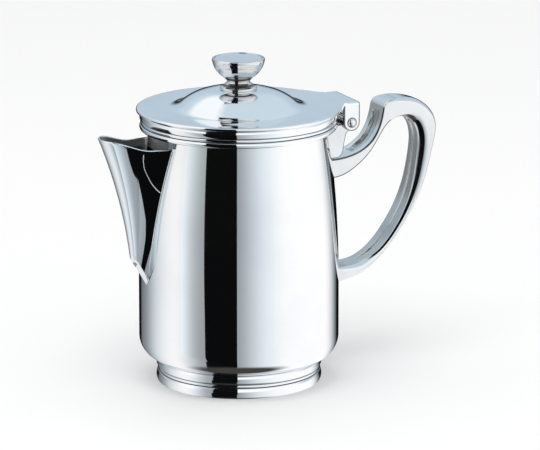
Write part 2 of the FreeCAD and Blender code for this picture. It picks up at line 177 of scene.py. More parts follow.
# %% [markdown]
# ## Steel finishes
# Polished steel is almost a perfect mirror, so its look comes from what it reflects. Up close it
# still shows faint lines from the polishing wheel and a soft haze where hands have been. Lines and
# haze are noise patterns on the piece's own coordinates. Painted shade darkens the colour and
# raises the roughness in crevices and along some edges, measured from those places. They are mixed
# into the roughness and the colour, and the lines also make a very small bump.


# %% One recipe for every steel
# Near-black colour of the painted shade.
PAINTED_SHADE_COLOUR = (0.10, 0.095, 0.09, 1.0)


def new_finish(name):
    """A material and the bench for its nodes."""
    material = bpy.data.materials.new(name)
    material.use_nodes = True
    return material, Bench(material.node_tree)


def steel(name, bright, dull, rough, haze, lines, line_depth, painted_shade=None, cloud=24.0):
    """A steel finish: colours, base roughness, haze share, and the stretch of its fine lines."""
    material, bench = new_finish(name + "_steel")
    place = bench.node("ShaderNodeTexCoord", out="Object")
    clouds = bench.noise(place, cloud, 4.0)
    stretched = bench.node("ShaderNodeMapping", None, {"Vector": place, "Scale": lines})
    strokes = bench.noise(stretched, 1.0, 3.0)
    specks = bench.noise(place, 1400.0, 1.0)
    smear = clouds.above(0.42, 0.68)
    roughness = rough + smear * haze + (strokes - 0.5) * rough * 0.8 + (specks - 0.5) * rough * 0.4
    colour = bench.mix(smear * 0.7 + strokes * 0.3, (*bright, 1.0), (*dull, 1.0))
    # Painted shade: the colour is darkened towards near-black and the roughness raised where the given rule
    # puts it.
    if painted_shade:
        shade_share = painted_shade(bench, place)
        colour = bench.mix(shade_share * 0.9, colour, PAINTED_SHADE_COLOUR)
        roughness = roughness + shade_share * 0.25
    bump = bench.node("ShaderNodeBump", None,
                      {"Strength": line_depth, "Distance": 0.0002, "Height": strokes + specks * 0.25})
    shader = bench.node("ShaderNodeBsdfPrincipled", None,
                        {"Base Color": colour, "Metallic": 1.0, "Roughness": roughness, "Normal": bump})
    bench.node("ShaderNodeOutputMaterial", None, {"Surface": shader})
    return material


# How the painted shade fades away from a crevice.
SHADE_FULL, SHADE_END, SHADE_FADE = 0.2, 0.75, 0.8


def crevice_shade(radius, *heights):
    """Painted shade inside a radius, close to the heights where two mouldings meet."""

    def painted_shade(bench, place):
        x = bench.split(place)
        out = (x * x + x.also("Y") * x.also("Y")).root()
        near = 0.0
        for height in heights:
            gap = (x.also("Z") - height * MM).size()
            near = (1 - gap.above(SHADE_FULL * MM, SHADE_END * MM)) + near
        return near * (1 - out.above((radius - SHADE_FADE) * MM, radius * MM))

    return painted_shade


print("the film's colour:", PAINTED_SHADE_COLOUR[:3])

# %% The steels of the pot
BRIGHT, DULL = (0.86, 0.87, 0.88), (0.80, 0.81, 0.825)
WHEEL_LINES, SPUN_LINES, CAST_LINES = (30.0, 30.0, 2600.0), (900.0, 900.0, 900.0), (420.0, 420.0, 420.0)
CAST_CLOUD = 60.0
wheel_polished = steel("wheel_polished", BRIGHT, DULL, 0.030, 0.03, WHEEL_LINES, 0.010)
lid_polished = steel("lid_polished", BRIGHT, DULL, 0.045, 0.04, SPUN_LINES, 0.010)
cast_polished = steel("cast_polished", (0.78, 0.785, 0.79), (0.69, 0.695, 0.705), 0.055, 0.06,
                      CAST_LINES, 0.016, None, CAST_CLOUD)
# Its darker colour is painted shade; its higher roughness is a duller finish. It goes in the handle's channel
# and on the grip's face towards the body.
cast_dull = steel("cast_dull", (0.58, 0.58, 0.575), (0.46, 0.46, 0.455), 0.14, 0.08,
                  CAST_LINES, 0.03, None, CAST_CLOUD)
# Near-black steel for painted shade along the post's rounded edges and the handle arm's edges.
edge_dull = steel("edge_dull", (0.15, 0.148, 0.145), (0.09, 0.088, 0.085), 0.22, 0.08,
                  CAST_LINES, 0.03, None, CAST_CLOUD)
# The knob, the foot and the collar get bands of painted shade at the given heights, in their grooves and
# crevices.
knob_polished = steel("knob_polished", (0.72, 0.725, 0.73), (0.60, 0.605, 0.615), 0.05, 0.06,
                      CAST_LINES, 0.014, crevice_shade(8.8, 138.3, 141.3, 141.8), CAST_CLOUD)
foot_polished = steel("foot_polished", BRIGHT, DULL, 0.035, 0.04, WHEEL_LINES, 0.010,
                      crevice_shade(37.7, 4.8, 6.6, 10.8))
collar_polished = steel("collar_polished", BRIGHT, DULL, 0.035, 0.04, WHEEL_LINES, 0.010,
                        crevice_shade(45.0, 118.3, 120.6, 122.5))
# The spout's steel is a darker, bluer copy of the polished steel: a painted reflection tint.
spout_polished = steel("spout_polished", (0.74, 0.78, 0.81), (0.68, 0.72, 0.75), 0.030, 0.03,
                       WHEEL_LINES, 0.010)
satin_inside = steel("satin_inside", (0.70, 0.70, 0.70), (0.60, 0.60, 0.61), 0.24, 0.10,
                     (30.0, 30.0, 3000.0), 0.06)
# Dark satin with painted shade, for the spout's inside and the wall between its lips.
spout_inside = steel("spout_inside", (0.34, 0.34, 0.34), (0.25, 0.25, 0.255), 0.32, 0.12,
                     (200.0, 200.0, 1200.0), 0.06)
machined = steel("machined", (0.62, 0.63, 0.64), (0.48, 0.49, 0.50), 0.30, 0.10,
                 (1800.0, 1800.0, 200.0), 0.08, cloud=200.0)
print("steels:", [m.name for m in bpy.data.materials if m.name.endswith("_steel")])

# %% [markdown]
# ## Turned pieces
# The body, foot, collar, lid, knob, cap, washer, screw and rivet are all shapes that a lathe could
# make, so one Geometry Nodes tree turns them all. It takes half of a section as a line of points,
# carries it round a circle, welds the seam and the poles, and sets the finish. The section's sharp
# corners are first rubbed down a little, as polishing does, because a mirror shows every edge.


# %% Rub down and thin out a section
GRAIN = 0.04
SLOW_BEND, FAST_BEND = math.radians(0.6), math.radians(5.0)
SHORT_RUN, LONG_RUN = 0.6, 3.0


def lengths(line):
    """How far along a flat line each of its points lies."""
    return np.r_[0, np.cumsum(np.hypot(*np.diff(line, axis=0).T))]


def resampled(line, known, places):
    """Points at new places along a line whose own points lie at the known places."""
    return np.stack([np.interp(places, known, values) for values in line.T], 1)


def rubbed(points, closed, edge):
    """The section with its corners worn round, and with points only where it bends."""
    line = np.array(points, float)
    if closed:
        line = np.vstack([line, line[:1]])
    known = lengths(line)
    places = np.linspace(0, known[-1], int(known[-1] / GRAIN), endpoint=not closed)
    fine = resampled(line, known, places)
    wide = max(int(edge / GRAIN) | 1, 3)
    half = wide // 2
    even = np.ones(wide) / wide
    for _ in range(2):
        if closed:
            longer = np.vstack([fine[-half:], fine, fine[:half]])
        else:
            longer = np.vstack([2 * fine[0] - fine[half:0:-1], fine,
                                2 * fine[-1] - fine[-2:-half - 2:-1]])
        fine = np.stack([np.convolve(values, even, "valid") for values in longer.T], 1)
    step = np.diff(fine, axis=0)
    turn = np.unwrap(np.arctan2(step[:, 1], step[:, 0]))
    keep = [0]
    for i in range(1, len(turn)):
        bend = abs(turn[i] - turn[keep[-1]])
        run = (i - keep[-1]) * GRAIN
        if bend > SLOW_BEND and run > SHORT_RUN and i - 1 > keep[-1]:
            keep.append(i - 1)
        elif bend > FAST_BEND or run > LONG_RUN:
            keep.append(i)
    if not closed:
        keep.append(len(fine) - 1)
    return fine[keep]


def arc(start, middle, end, count=24):
    """Points on the arc through three points, without the first."""
    (ax, ay), (bx, by), (cx, cy) = start, middle, end
    a2, b2, c2 = ax * ax + ay * ay, bx * bx + by * by, cx * cx + cy * cy
    double = 2 * (ax * (by - cy) + bx * (cy - ay) + cx * (ay - by))
    hub_x = (a2 * (by - cy) + b2 * (cy - ay) + c2 * (ay - by)) / double
    hub_y = (a2 * (cx - bx) + b2 * (ax - cx) + c2 * (bx - ax)) / double
    first, mid, last = (math.atan2(y - hub_y, x - hub_x) for x, y in (start, middle, end))
    full = 2 * math.pi
    sweep = (last - first) % full
    if (mid - first) % full > sweep:
        sweep -= full
    radius = math.hypot(ax - hub_x, ay - hub_y)
    turns = [first + sweep * i / count for i in range(1, count + 1)]
    return [(hub_x + radius * math.cos(a), hub_y + radius * math.sin(a)) for a in turns]


print("a square corner becomes", len(rubbed([(0, 0), (9, 0), (9, 9)], False, 0.3)), "points")


# %% The lathe tree
WELD = 2e-6


def new_tree(name, *inputs):
    """The bench of an empty tree with named inputs, and its input node."""
    tree = bpy.data.node_groups.new(name, "GeometryNodeTree")
    for label, kind in inputs:
        tree.interface.new_socket(label, in_out="INPUT", socket_type="NodeSocket" + kind)
    tree.interface.new_socket("Piece", in_out="OUTPUT", socket_type="NodeSocketGeometry")
    bench = Bench(tree)
    return bench, bench.node("NodeGroupInput")


def end_tree(bench, shape, given):
    """The tree, ended in real geometry with the given finish."""
    real = bench.node("GeometryNodeRealizeInstances", None, {"Geometry": shape})
    done = bench.node("GeometryNodeSetMaterial", None,
                      {"Geometry": real, "Material": given.also("Finish")})
    bench.node("NodeGroupOutput", None, {"Piece": done})
    return bench.tree


def lathe_tree():
    bench, given = new_tree("lathe", ("Section", "Geometry"), ("Turns", "Int"), ("Ring", "Float"),
                            ("Finish", "Material"))
    line = bench.node("GeometryNodeMeshToCurve", None, {"Mesh": given})
    out = bench.split(bench.node("GeometryNodeInputPosition"))
    flat = bench.node("ShaderNodeCombineXYZ", None,
                      {"X": out - given.also("Ring"), "Y": out.also("Z") * -1.0})
    section = bench.node("GeometryNodeSetPosition", None, {"Geometry": line, "Position": flat})
    ring = bench.node("GeometryNodeCurvePrimitiveCircle", {"mode": "RADIUS"},
                      {"Resolution": given.also("Turns"), "Radius": given.also("Ring")})
    ring = bench.node("GeometryNodeSetCurveNormal", {"mode": "Z_UP"}, {"Curve": ring})
    swept = bench.node("GeometryNodeCurveToMesh", None, {"Curve": ring, "Profile Curve": section})
    welded = bench.node("GeometryNodeMergeByDistance", None, {"Geometry": swept, "Distance": WELD})
    return end_tree(bench, welded, given)


LATHE = lathe_tree()
print("lathe tree:", len(LATHE.nodes), "nodes")


# %% From tree to plain mesh
SHARP = 40.0


def shown(mesh, name):
    piece = bpy.data.objects.new(name, mesh)
    bpy.context.scene.collection.objects.link(piece)
    return piece


def path_piece(name, points, closed):
    """A line through points in metres, for a tree to work on."""
    count = len(points)
    edges = [(i, i + 1) for i in range(count - 1)] + ([(count - 1, 0)] if closed else [])
    mesh = bpy.data.meshes.new(name)
    mesh.from_pydata(points, edges, [])
    return shown(mesh, name)


def tidy_mesh(mesh, sharp):
    """Outward faces, smooth shading, and an edge where faces meet at more than the sharp angle."""
    work = bmesh.new()
    work.from_mesh(mesh)
    bmesh.ops.remove_doubles(work, verts=work.verts, dist=1e-6)
    bmesh.ops.dissolve_degenerate(work, edges=work.edges, dist=1e-7)
    bmesh.ops.recalc_face_normals(work, faces=work.faces)
    work.to_mesh(mesh)
    work.free()
    mesh.shade_smooth()
    mesh.set_sharp_from_angle(angle=math.radians(sharp))


def baked(piece, sharp=SHARP):
    """The piece with its modifiers worked into a plain mesh."""
    graph = bpy.context.evaluated_depsgraph_get()
    mesh = bpy.data.meshes.new_from_object(piece.evaluated_get(graph))
    piece.modifiers.clear()
    old = piece.data
    piece.data = mesh
    bpy.data.meshes.remove(old)
    mesh.name = piece.name
    tidy_mesh(mesh, sharp)
    return piece


def tree_modifier(piece, tree, **values):
    change = piece.modifiers.new(tree.name, "NODES")
    change.node_group = tree
    for item in tree.interface.items_tree:
        if item.in_out == "INPUT" and item.name in values:
            change[item.identifier] = values[item.name]


print("edges stay sharp above", SHARP, "degrees")


# %% One call for a turned piece
def turned(name, points, finish, edge, turns, closed=True):
    """A lathe piece from its half section, given in millimetres as (radius, height)."""
    section = rubbed(points, closed, edge) * MM
    piece = path_piece(name, [(r, 0.0, z) for r, z in section], closed)
    tree_modifier(piece, LATHE, Turns=turns, Ring=float(section[:, 0].max()) / 2, Finish=finish)
    baked(piece)
    print(name, "section of", len(section), "points,", len(piece.data.polygons), "faces")
    return piece


def placed(piece, body, slot, *nodes):
    """The piece rides on its body and stands for its CAD nodes. The argument slot is not used."""
    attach(piece, body)
    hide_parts(*nodes)


print("lathe inputs:", [item.name for item in LATHE.interface.items_tree if item.in_out == "INPUT"])

# %% [markdown]
# ## Body, foot and collar
# The body is a drawn can with a rounded lower corner. Its wall stands straight to the belly and
# then draws in on one long arc to the mouth. The foot and the collar are mouldings of two swelling
# bands with a bead between them, soldered under the body and round the mouth. The body's inside is
# only satin, and the bit of wall between the spout's lips is a dark satin with painted shade.

# %% Sizes of the body
BODY_R, MOUTH_R, WALL = 46.0, 41.0, 0.9
FOOT_H, BELLY_Z, NECK_Z, MOUTH_Z = 10.8, 45.8, 118.3, 125.0
CORNER_R, WALL_STEPS = 10.5, 40
DRAW_RISE = NECK_Z - BELLY_Z
DRAW_R = (DRAW_RISE ** 2 + (BODY_R - MOUTH_R) ** 2) / (2 * (BODY_R - MOUTH_R))


def wall_r(z):
    """Outside radius of the body's wall at a height."""
    up = min(max(z, BELLY_Z), NECK_Z) - BELLY_Z
    return BODY_R - DRAW_R + math.sqrt(DRAW_R ** 2 - up ** 2)


def body_side(inset):
    """The body's half section from the middle of the bottom up to the mouth."""
    flat = BODY_R - CORNER_R
    corner = CORNER_R - inset
    slant = corner * math.sqrt(0.5)
    z = FOOT_H + CORNER_R
    side = [(0.0, FOOT_H + inset), (flat, FOOT_H + inset)]
    side += arc(side[-1], (flat + slant, z - slant), (BODY_R - inset, z))
    side.append((BODY_R - inset, BELLY_Z))
    heights = [BELLY_Z + DRAW_RISE * i / WALL_STEPS for i in range(1, WALL_STEPS + 1)]
    side += [(wall_r(z) - inset, z) for z in heights]
    side.append((MOUTH_R - inset, MOUTH_Z))
    return side


print("wall radius at half height:", round(wall_r(80.0), 2), "mm")

# %% Body shell with its pouring hole
body = turned("body_shell_skin", body_side(0.0) + body_side(WALL)[::-1], wheel_polished,
              closed=False, edge=0.4, turns=256)
HOLE_TOP, HOLE_LOW, HOLE_TOP_HALF, HOLE_LOW_HALF, HOLE_ROUND = 111.5, 67.7, 11.19, 2.23, 2.0
FLOOR_TOP = 22.0


def prism(name, outline, along):
    """A closed prism from a 3-D outline in millimetres."""
    work = bmesh.new()
    low = [work.verts.new(Vector(p) * MM) for p in outline]
    high = [work.verts.new((Vector(p) + Vector(along)) * MM) for p in outline]
    work.faces.new(low)
    work.faces.new(high[::-1])
    for i in range(len(low)):
        j = (i + 1) % len(low)
        work.faces.new((low[i], high[i], high[j], low[j]))
    bmesh.ops.recalc_face_normals(work, faces=work.faces)
    mesh = bpy.data.meshes.new(name)
    work.to_mesh(mesh)
    work.free()
    return shown(mesh, name)


def rounded(corners, radius):
    """A flat outline with every corner rounded."""
    done = []
    size = len(corners)
    for i, corner in enumerate(corners):
        here = np.array(corner, float)
        back = np.array(corners[i - 1], float) - here
        ahead = np.array(corners[(i + 1) % size], float) - here
        back, ahead = back / np.linalg.norm(back), ahead / np.linalg.norm(ahead)
        half = math.acos(max(-1.0, min(1.0, float(back @ ahead)))) / 2
        cut = radius / math.tan(half)
        first, last = here + back * cut, here + ahead * cut
        middle = (back + ahead) / np.linalg.norm(back + ahead)
        top = here + middle * (radius / math.sin(half) - radius)
        done += [tuple(first)] + arc(tuple(first), tuple(top), tuple(last), 8)
    return done


def carve(piece, cutter, way="DIFFERENCE"):
    change = piece.modifiers.new(way.lower(), "BOOLEAN")
    change.operation = way
    change.object = cutter
    change.solver = "EXACT"
    baked(piece)
    mesh = cutter.data
    bpy.data.objects.remove(cutter)
    bpy.data.meshes.remove(mesh)


hole = rounded([(-HOLE_TOP_HALF, HOLE_TOP), (HOLE_TOP_HALF, HOLE_TOP),
                (HOLE_LOW_HALF, HOLE_LOW), (-HOLE_LOW_HALF, HOLE_LOW)], HOLE_ROUND)
carve(body, prism("hole_cutter", [(-BODY_R - 10.0, y, z) for y, z in hole], (30.0, 0, 0)))
# The inside is satin; the wall between the spout's lips gets the dark satin with painted shade.
for finish in (satin_inside, spout_inside):
    body.data.materials.append(finish)
for face in body.data.polygons:
    x, y, z = face.center / MM
    inward = face.normal.x * x + face.normal.y * y < -0.3 * math.hypot(x, y)
    floor_inside = face.normal.z > 0.5 and z < FLOOR_TOP
    between_lips = x < 0 and abs(y) < HOLE_TOP_HALF + 1 and HOLE_TOP - 1 < z < NECK_Z
    if inward or floor_inside:
        face.material_index = 1
    elif between_lips:
        face.material_index = 2
placed(body, "pot", "body_steel", "body_shell")
print("inside faces:", sum(face.material_index == 1 for face in body.data.polygons))


# %% Foot ring and rim collar
def banded(radius, bulge, groove, bead_set, low, heights):
    """The outside of a moulding: a band, a bead and a band, from low upwards."""
    edge = radius - bulge
    z1 = low + heights[0]
    z2 = z1 + heights[1]
    z3 = z2 + heights[2]
    side = [(edge, low)]
    side += arc(side[-1], (radius, (low + z1) / 2), (edge, z1))
    side.append((radius - groove, z1))
    side += arc(side[-1], (radius - bead_set, (z1 + z2) / 2), (radius - groove, z2), 14)
    side.append((edge, z2))
    side += arc(side[-1], (radius, (z2 + z3) / 2), (edge, z3))
    return side


FOOT_R, FOOT_BORE, FLANGE_R, FLANGE_Z = 38.1, 33.2, 29.2, 9.4
foot_side = banded(FOOT_R, 0.7, 1.7, 0.6, 0.0, (4.8, 1.8, 4.2))
foot_side += [(FLANGE_R, FOOT_H), (FLANGE_R, FLANGE_Z), (FOOT_BORE, FLANGE_Z), (FOOT_BORE, 0.0)]
placed(turned("foot_ring_skin", foot_side, foot_polished, edge=0.3, turns=224),
       "pot", "polished_steel", "foot_ring")

COLLAR_R, COLLAR_TOP, COLLAR_LIP, COLLAR_BORE = 45.3, 126.0, 39.95, 41.05
collar_side = banded(COLLAR_R, 0.5, 1.3, 0.4, NECK_Z, (2.3, 1.9, 3.5))
collar_side += [(COLLAR_LIP, COLLAR_TOP), (COLLAR_LIP, MOUTH_Z)]
collar_side += [(COLLAR_BORE, MOUTH_Z), (COLLAR_BORE, NECK_Z)]
placed(turned("rim_collar_skin", collar_side, collar_polished, edge=0.25, turns=224),
       "pot", "polished_steel", "rim_collar")

# %% [markdown]
# ## Lid, knob and their fixings
# The lid is spun from sheet: a flat brim with a thick hem, then a hollow curve that turns into a
# dome. The knob is a turned cup on a waisted stem, with a thin disc let into its top. A screw with
# a washer holds it from inside, which shows when the lid stands open.

# %% Lid cover
LID_R, LID_UNDER, LID_TOP, LID_SHEET = 46.8, 126.3, 127.9, 0.9
DOME_R, DOME_H, SEAT_R, COVE_W, HOLE_R, HEM_W = 33.0, 8.4, 9.5, 6.5, 2.1, 3.5
SATIN_FROM, SATIN_TO = 6.2, LID_R - HEM_W - 0.1
SEAT_Z = LID_TOP + DOME_H
SWING = 2 * math.atan(DOME_H / (DOME_R - SEAT_R))
COVE_R = COVE_W / math.sin(SWING)
CROWN_R = (DOME_R - SEAT_R - COVE_W) / math.sin(SWING)


def dome_side(inset):
    """The dome from the knob's seat out to the brim."""
    crown, cove = CROWN_R - inset, COVE_R + inset
    turns = [SWING * i / 24 for i in range(25)]
    top = [(SEAT_R + crown * math.sin(a), SEAT_Z - CROWN_R + crown * math.cos(a)) for a in turns]
    low = [(DOME_R - cove * math.sin(a), LID_TOP + COVE_R - cove * math.cos(a)) for a in turns[::-1]]
    return top + low[1:]


hem = LID_R - 0.8
lid_side = [(HOLE_R, SEAT_Z)] + dome_side(0.0) + [(hem, LID_TOP)]
lid_side += arc(lid_side[-1], (LID_R, (LID_TOP + LID_UNDER) / 2), (hem, LID_UNDER), 12)
lid_side += [(LID_R - HEM_W, LID_UNDER), (LID_R - HEM_W, LID_TOP - LID_SHEET)]
lid_side += dome_side(LID_SHEET)[::-1] + [(HOLE_R, SEAT_Z - LID_SHEET)]
lid = turned("lid_cover_skin", lid_side, lid_polished, edge=0.2, turns=256)
lid.data.materials.append(satin_inside)
for face in lid.data.polygons:
    out = math.hypot(face.center.x, face.center.y)
    face.material_index = int(face.normal.z < -0.1 and SATIN_FROM * MM < out < SATIN_TO * MM)
placed(lid, "lid", "polished_steel", "lid_cover")

# %% Knob and its disc
KNOB_TOP, KNOB_R, CAP_R, CAP_LOW = SEAT_Z + 14.5, 12.0, 10.9, SEAT_Z + 13.35
CUP_Z, RIM_LOW, WAIST_Z, KNOB_HOLE = SEAT_Z + 5.4, SEAT_Z + 13.3, SEAT_Z + 3.7, 8.0
knob_side = [(HOLE_R, SEAT_Z), (8.5, SEAT_Z), (8.5, SEAT_Z + 1.1), (7.4, SEAT_Z + 1.5),
             (6.1, SEAT_Z + 2.5), (5.45, SEAT_Z + 3.1), (5.1, WAIST_Z), (6.6, CUP_Z)]
knob_side += arc(knob_side[-1], (10.2, (CUP_Z + RIM_LOW) / 2 - 0.6), (KNOB_R, RIM_LOW))
knob_side += arc(knob_side[-1], (11.89, KNOB_TOP - 0.3), (11.45, KNOB_TOP), 8)
knob_side += [(CAP_R + 0.05, KNOB_TOP), (CAP_R + 0.05, CAP_LOW), (0.0, CAP_LOW)]
knob_side = [(0.0, SEAT_Z + KNOB_HOLE), (HOLE_R, SEAT_Z + KNOB_HOLE)] + knob_side
placed(turned("knob_skin", knob_side, knob_polished, closed=False, edge=0.35, turns=144),
       "lid", "polished_steel", "knob")
cap_side = [(0.0, CAP_LOW), (CAP_R, CAP_LOW), (CAP_R, CAP_LOW + 0.63),
            (CAP_R - 0.27, CAP_LOW + 0.9), (0.0, CAP_LOW + 0.9)]
placed(turned("knob_cap_skin", cap_side, lid_polished, closed=False, edge=0.15, turns=128),
       "lid", "polished_steel", "knob_cap")

# %% Washer and screw inside the lid
WASHER_R, WASHER_T = 6.0, 1.0
WASHER_Z = SEAT_Z - LID_SHEET - WASHER_T
washer_side = [(HOLE_R, WASHER_Z), (WASHER_R, WASHER_Z)]
washer_side += [(WASHER_R, WASHER_Z + WASHER_T), (HOLE_R, WASHER_Z + WASHER_T)]
placed(turned("knob_washer_skin", washer_side, machined, edge=0.25, turns=96),
       "lid", "plain_steel", "knob_washer")

SCREW_Z, SCREW_TOP, SCREW_R, BUTTON_R = WASHER_Z - 2.2, SEAT_Z + 7.8, 2.0, 3.6
SLOT_LONG, SLOT_HALF, SLOT_DEEP = 4.0, 0.45, 0.8
screw_side = [(0.0, SCREW_Z), (2.16, SCREW_Z)]
screw_side += arc(screw_side[-1], (3.31, WASHER_Z - 1.58), (BUTTON_R, WASHER_Z - 0.66), 10)
screw_side += [(BUTTON_R, WASHER_Z), (SCREW_R, WASHER_Z), (SCREW_R, SCREW_TOP), (0.0, SCREW_TOP)]
screw = turned("knob_screw_skin", screw_side, machined, closed=False, edge=0.2, turns=96)
slot_line = [(x, y, SCREW_Z - 1.0) for x, y in ((-SLOT_LONG, -SLOT_HALF), (SLOT_LONG, -SLOT_HALF),
                                                (SLOT_LONG, SLOT_HALF), (-SLOT_LONG, SLOT_HALF))]
carve(screw, prism("slot_cutter", slot_line, (0, 0, 1.0 + SLOT_DEEP)))
placed(screw, "lid", "plain_steel", "knob_screw")

# %% [markdown]
# ## Hinge
# A strap leaves the brim at the back and folds down into two ears. They hold a cast post between
# them, and a rivet with two round heads goes through all three. The lid and its strap swing, and
# the post and the rivet stay on the pot. Painted shade darkens the ears' edges, the fold's end and
# rings round the rivet's heads, so that each shows as a dark line; the post's rounded edges are painted dark
# too.


# %% Skins through rings of points
def skin(name, rings, finishes, sharp=SHARP, choose=None):
    """A closed mesh through rings of equally many points, with both ends capped.
    The rule choose(ring, place) gives the number of a face's finish."""
    rings = np.asarray(rings, float)
    count, size = rings.shape[:2]
    faces = [(i * size + j, i * size + (j + 1) % size,
              (i + 1) * size + (j + 1) % size, (i + 1) * size + j)
             for i in range(count - 1) for j in range(size)]
    faces += [tuple(range(size))[::-1], tuple(range((count - 1) * size, count * size))]
    mesh = bpy.data.meshes.new(name)
    mesh.from_pydata((rings.reshape(-1, 3) * MM).tolist(), [], faces)
    for finish in finishes:
        mesh.materials.append(finish)
    if choose:
        for i, face in enumerate(mesh.polygons[:(count - 1) * size]):
            face.material_index = int(choose(i // size, i % size))
    tidy_mesh(mesh, sharp)
    print(name, "from", count, "rings of", size, "points")
    return shown(mesh, name)


FLAT_AREA, EASED_ANGLE, EASED_SHARP = 20e-6, 30.0, 50.0


def eased(piece, width):
    """The piece with its edges rounded over in its last finish, and its large faces kept flat."""
    change = piece.modifiers.new("eased", "BEVEL")
    change.width = width * MM
    change.segments = 3
    change.limit_method = "ANGLE"
    change.angle_limit = math.radians(EASED_ANGLE)
    change.material = len(piece.data.materials) - 1
    baked(piece, EASED_SHARP)
    for face in piece.data.polygons:
        face.use_smooth = face.area < FLAT_AREA
    return piece


print("faces stay flat above", round(FLAT_AREA / MM ** 2), "square mm")

# %% Painted shade on the hinge's ears
PIN_X, PIN_Z, PIN_R = 50.9, 118.5, 1.3
STRAP_HALF, STRAP_T, EAR_R = 13.4, 1.5, 3.9
EAR_X, STRAP_END = PIN_X - EAR_R, PIN_X + EAR_R


def ear_edge_shade(bench, place):
    """Painted shade along the ears' edges, along the fold's end and round the rivet's heads."""
    x = bench.split(place)
    y, z = x.also("Y").size(), x.also("Z")
    across = x - PIN_X * MM
    rise = z - PIN_Z * MM
    under = rise.sum("MINIMUM", rise, 0.0)
    reach = (across * across + under * under).root()
    from_pin = (across * across + rise * rise).root()
    outside = y.above((STRAP_HALF - 1.2) * MM, (STRAP_HALF - 0.8) * MM)
    on_ear = outside * (1 - z.above((LID_TOP - 1.6) * MM, (LID_TOP - 1.0) * MM))
    edge = reach.above((EAR_R - 0.65) * MM, (EAR_R - 0.3) * MM)
    ring = from_pin.above(1.6 * MM, 1.9 * MM) * (1 - from_pin.above(2.25 * MM, 2.6 * MM))
    fold_end = across.above((EAR_R - 0.6) * MM, (EAR_R - 0.3) * MM)
    marks = (edge.larger(ring) * on_ear).larger(fold_end)
    return marks * x.above((EAR_X - 0.3) * MM, EAR_X * MM)


# The strap's steel carries painted shade along its ears' edges, its fold's end and round the rivet's heads.
strap_polished = steel("strap_polished", BRIGHT, DULL, 0.045, 0.04, SPUN_LINES, 0.010, ear_edge_shade)
print("the ears reach", EAR_R, "mm from the pin")

# %% Hinge strap
FLARE, FLARE_R, BRIM_R = math.radians(28.0), 47.1, LID_R - 1.4
FOLD_LOW, FOLD_R, FOLD_MID = LID_TOP - 14.0, 1.2, 0.351
brim = [(BRIM_R * math.cos(a), BRIM_R * math.sin(a)) for a in np.linspace(-FLARE, FLARE, 25)]
wing = (FLARE_R * math.cos(FLARE), FLARE_R * math.sin(FLARE))
tongue = brim + [wing, (EAR_X, STRAP_HALF), (EAR_X + STRAP_T, STRAP_HALF),
                 (EAR_X + STRAP_T, -STRAP_HALF), (EAR_X, -STRAP_HALF), (wing[0], -wing[1])]
fold = [(-STRAP_HALF, FOLD_LOW), (-STRAP_HALF, LID_TOP - FOLD_R)]
fold += arc(fold[-1], (-STRAP_HALF + FOLD_MID, LID_TOP - FOLD_MID), (-STRAP_HALF + FOLD_R, LID_TOP), 8)
fold += [(-y, z) for y, z in fold[::-1]]
inner = STRAP_HALF - STRAP_T
fold += [(inner, FOLD_LOW), (inner, LID_TOP - STRAP_T), (-inner, LID_TOP - STRAP_T), (-inner, FOLD_LOW)]
strap = prism("hinge_strap_skin", [(EAR_X, y, z) for y, z in fold], (2 * EAR_R, 0, 0))
ear = [(EAR_X - 1.0, LID_TOP + 1.0), (EAR_X - 1.0, PIN_Z + 4.0), (EAR_X, PIN_Z + 3.0), (EAR_X, PIN_Z)]
ear += arc(ear[-1], (PIN_X, PIN_Z - EAR_R), (STRAP_END, PIN_Z), 24)
ear += [(STRAP_END, PIN_Z + 3.0), (STRAP_END + 1.0, PIN_Z + 4.0), (STRAP_END + 1.0, LID_TOP + 1.0)]
carve(strap, prism("ear_shape", [(x, -20.0, z) for x, z in ear], (0, 40.0, 0)), "INTERSECT")
tongue = [(x, y, LID_TOP - STRAP_T) for x, y in tongue]
carve(strap, prism("tongue", tongue, (0, 0, STRAP_T + 0.02)), "UNION")
strap.data.materials.append(strap_polished)
eased(strap, 0.6)
placed(strap, "lid", "polished_steel", "hinge_strap")
print("hinge strap has", len(strap.data.polygons), "faces")

# %% Hinge post
POST_HALF, POST_TOP, EYE_R = 11.55, 117.7, 3.6
POST_LOW, POST_X, TOE_R = POST_TOP - 15.7, BODY_R + 2.9, 4.5
post_line = [(PIN_X - EYE_R, POST_TOP), (PIN_X - EYE_R, PIN_Z)]
post_line += arc(post_line[-1], (PIN_X, PIN_Z + EYE_R), (PIN_X + EYE_R, PIN_Z), 24)
post_line += [(POST_X, PIN_Z - 1.5 * EYE_R), (POST_X - 0.3 * TOE_R, POST_LOW + TOE_R)]
post_line += arc(post_line[-1], (POST_X - 0.5 * TOE_R, POST_LOW + 0.35 * TOE_R),
                 (POST_X - TOE_R, POST_LOW), 10)
seat = [POST_LOW + (POST_TOP - POST_LOW) * i / 8 for i in range(9)]


def on_wall(y, z, depth=WALL / 2):
    """How far out the wall is at a place on the +X side, at a depth in its thickness."""
    return math.sqrt((wall_r(z) - depth) ** 2 - y * y)


post_rings = []
for y in np.linspace(-POST_HALF, POST_HALF, 13):
    post_rings.append([(x, y, z) for x, z in post_line] + [(on_wall(y, z), y, z) for z in seat])
# The post's rounded edges take its last finish, the near-black painted shade.
post = eased(skin("hinge_post_skin", post_rings, [cast_polished, edge_dull]), 0.7)
placed(post, "pot", "cast_steel", "hinge_post")

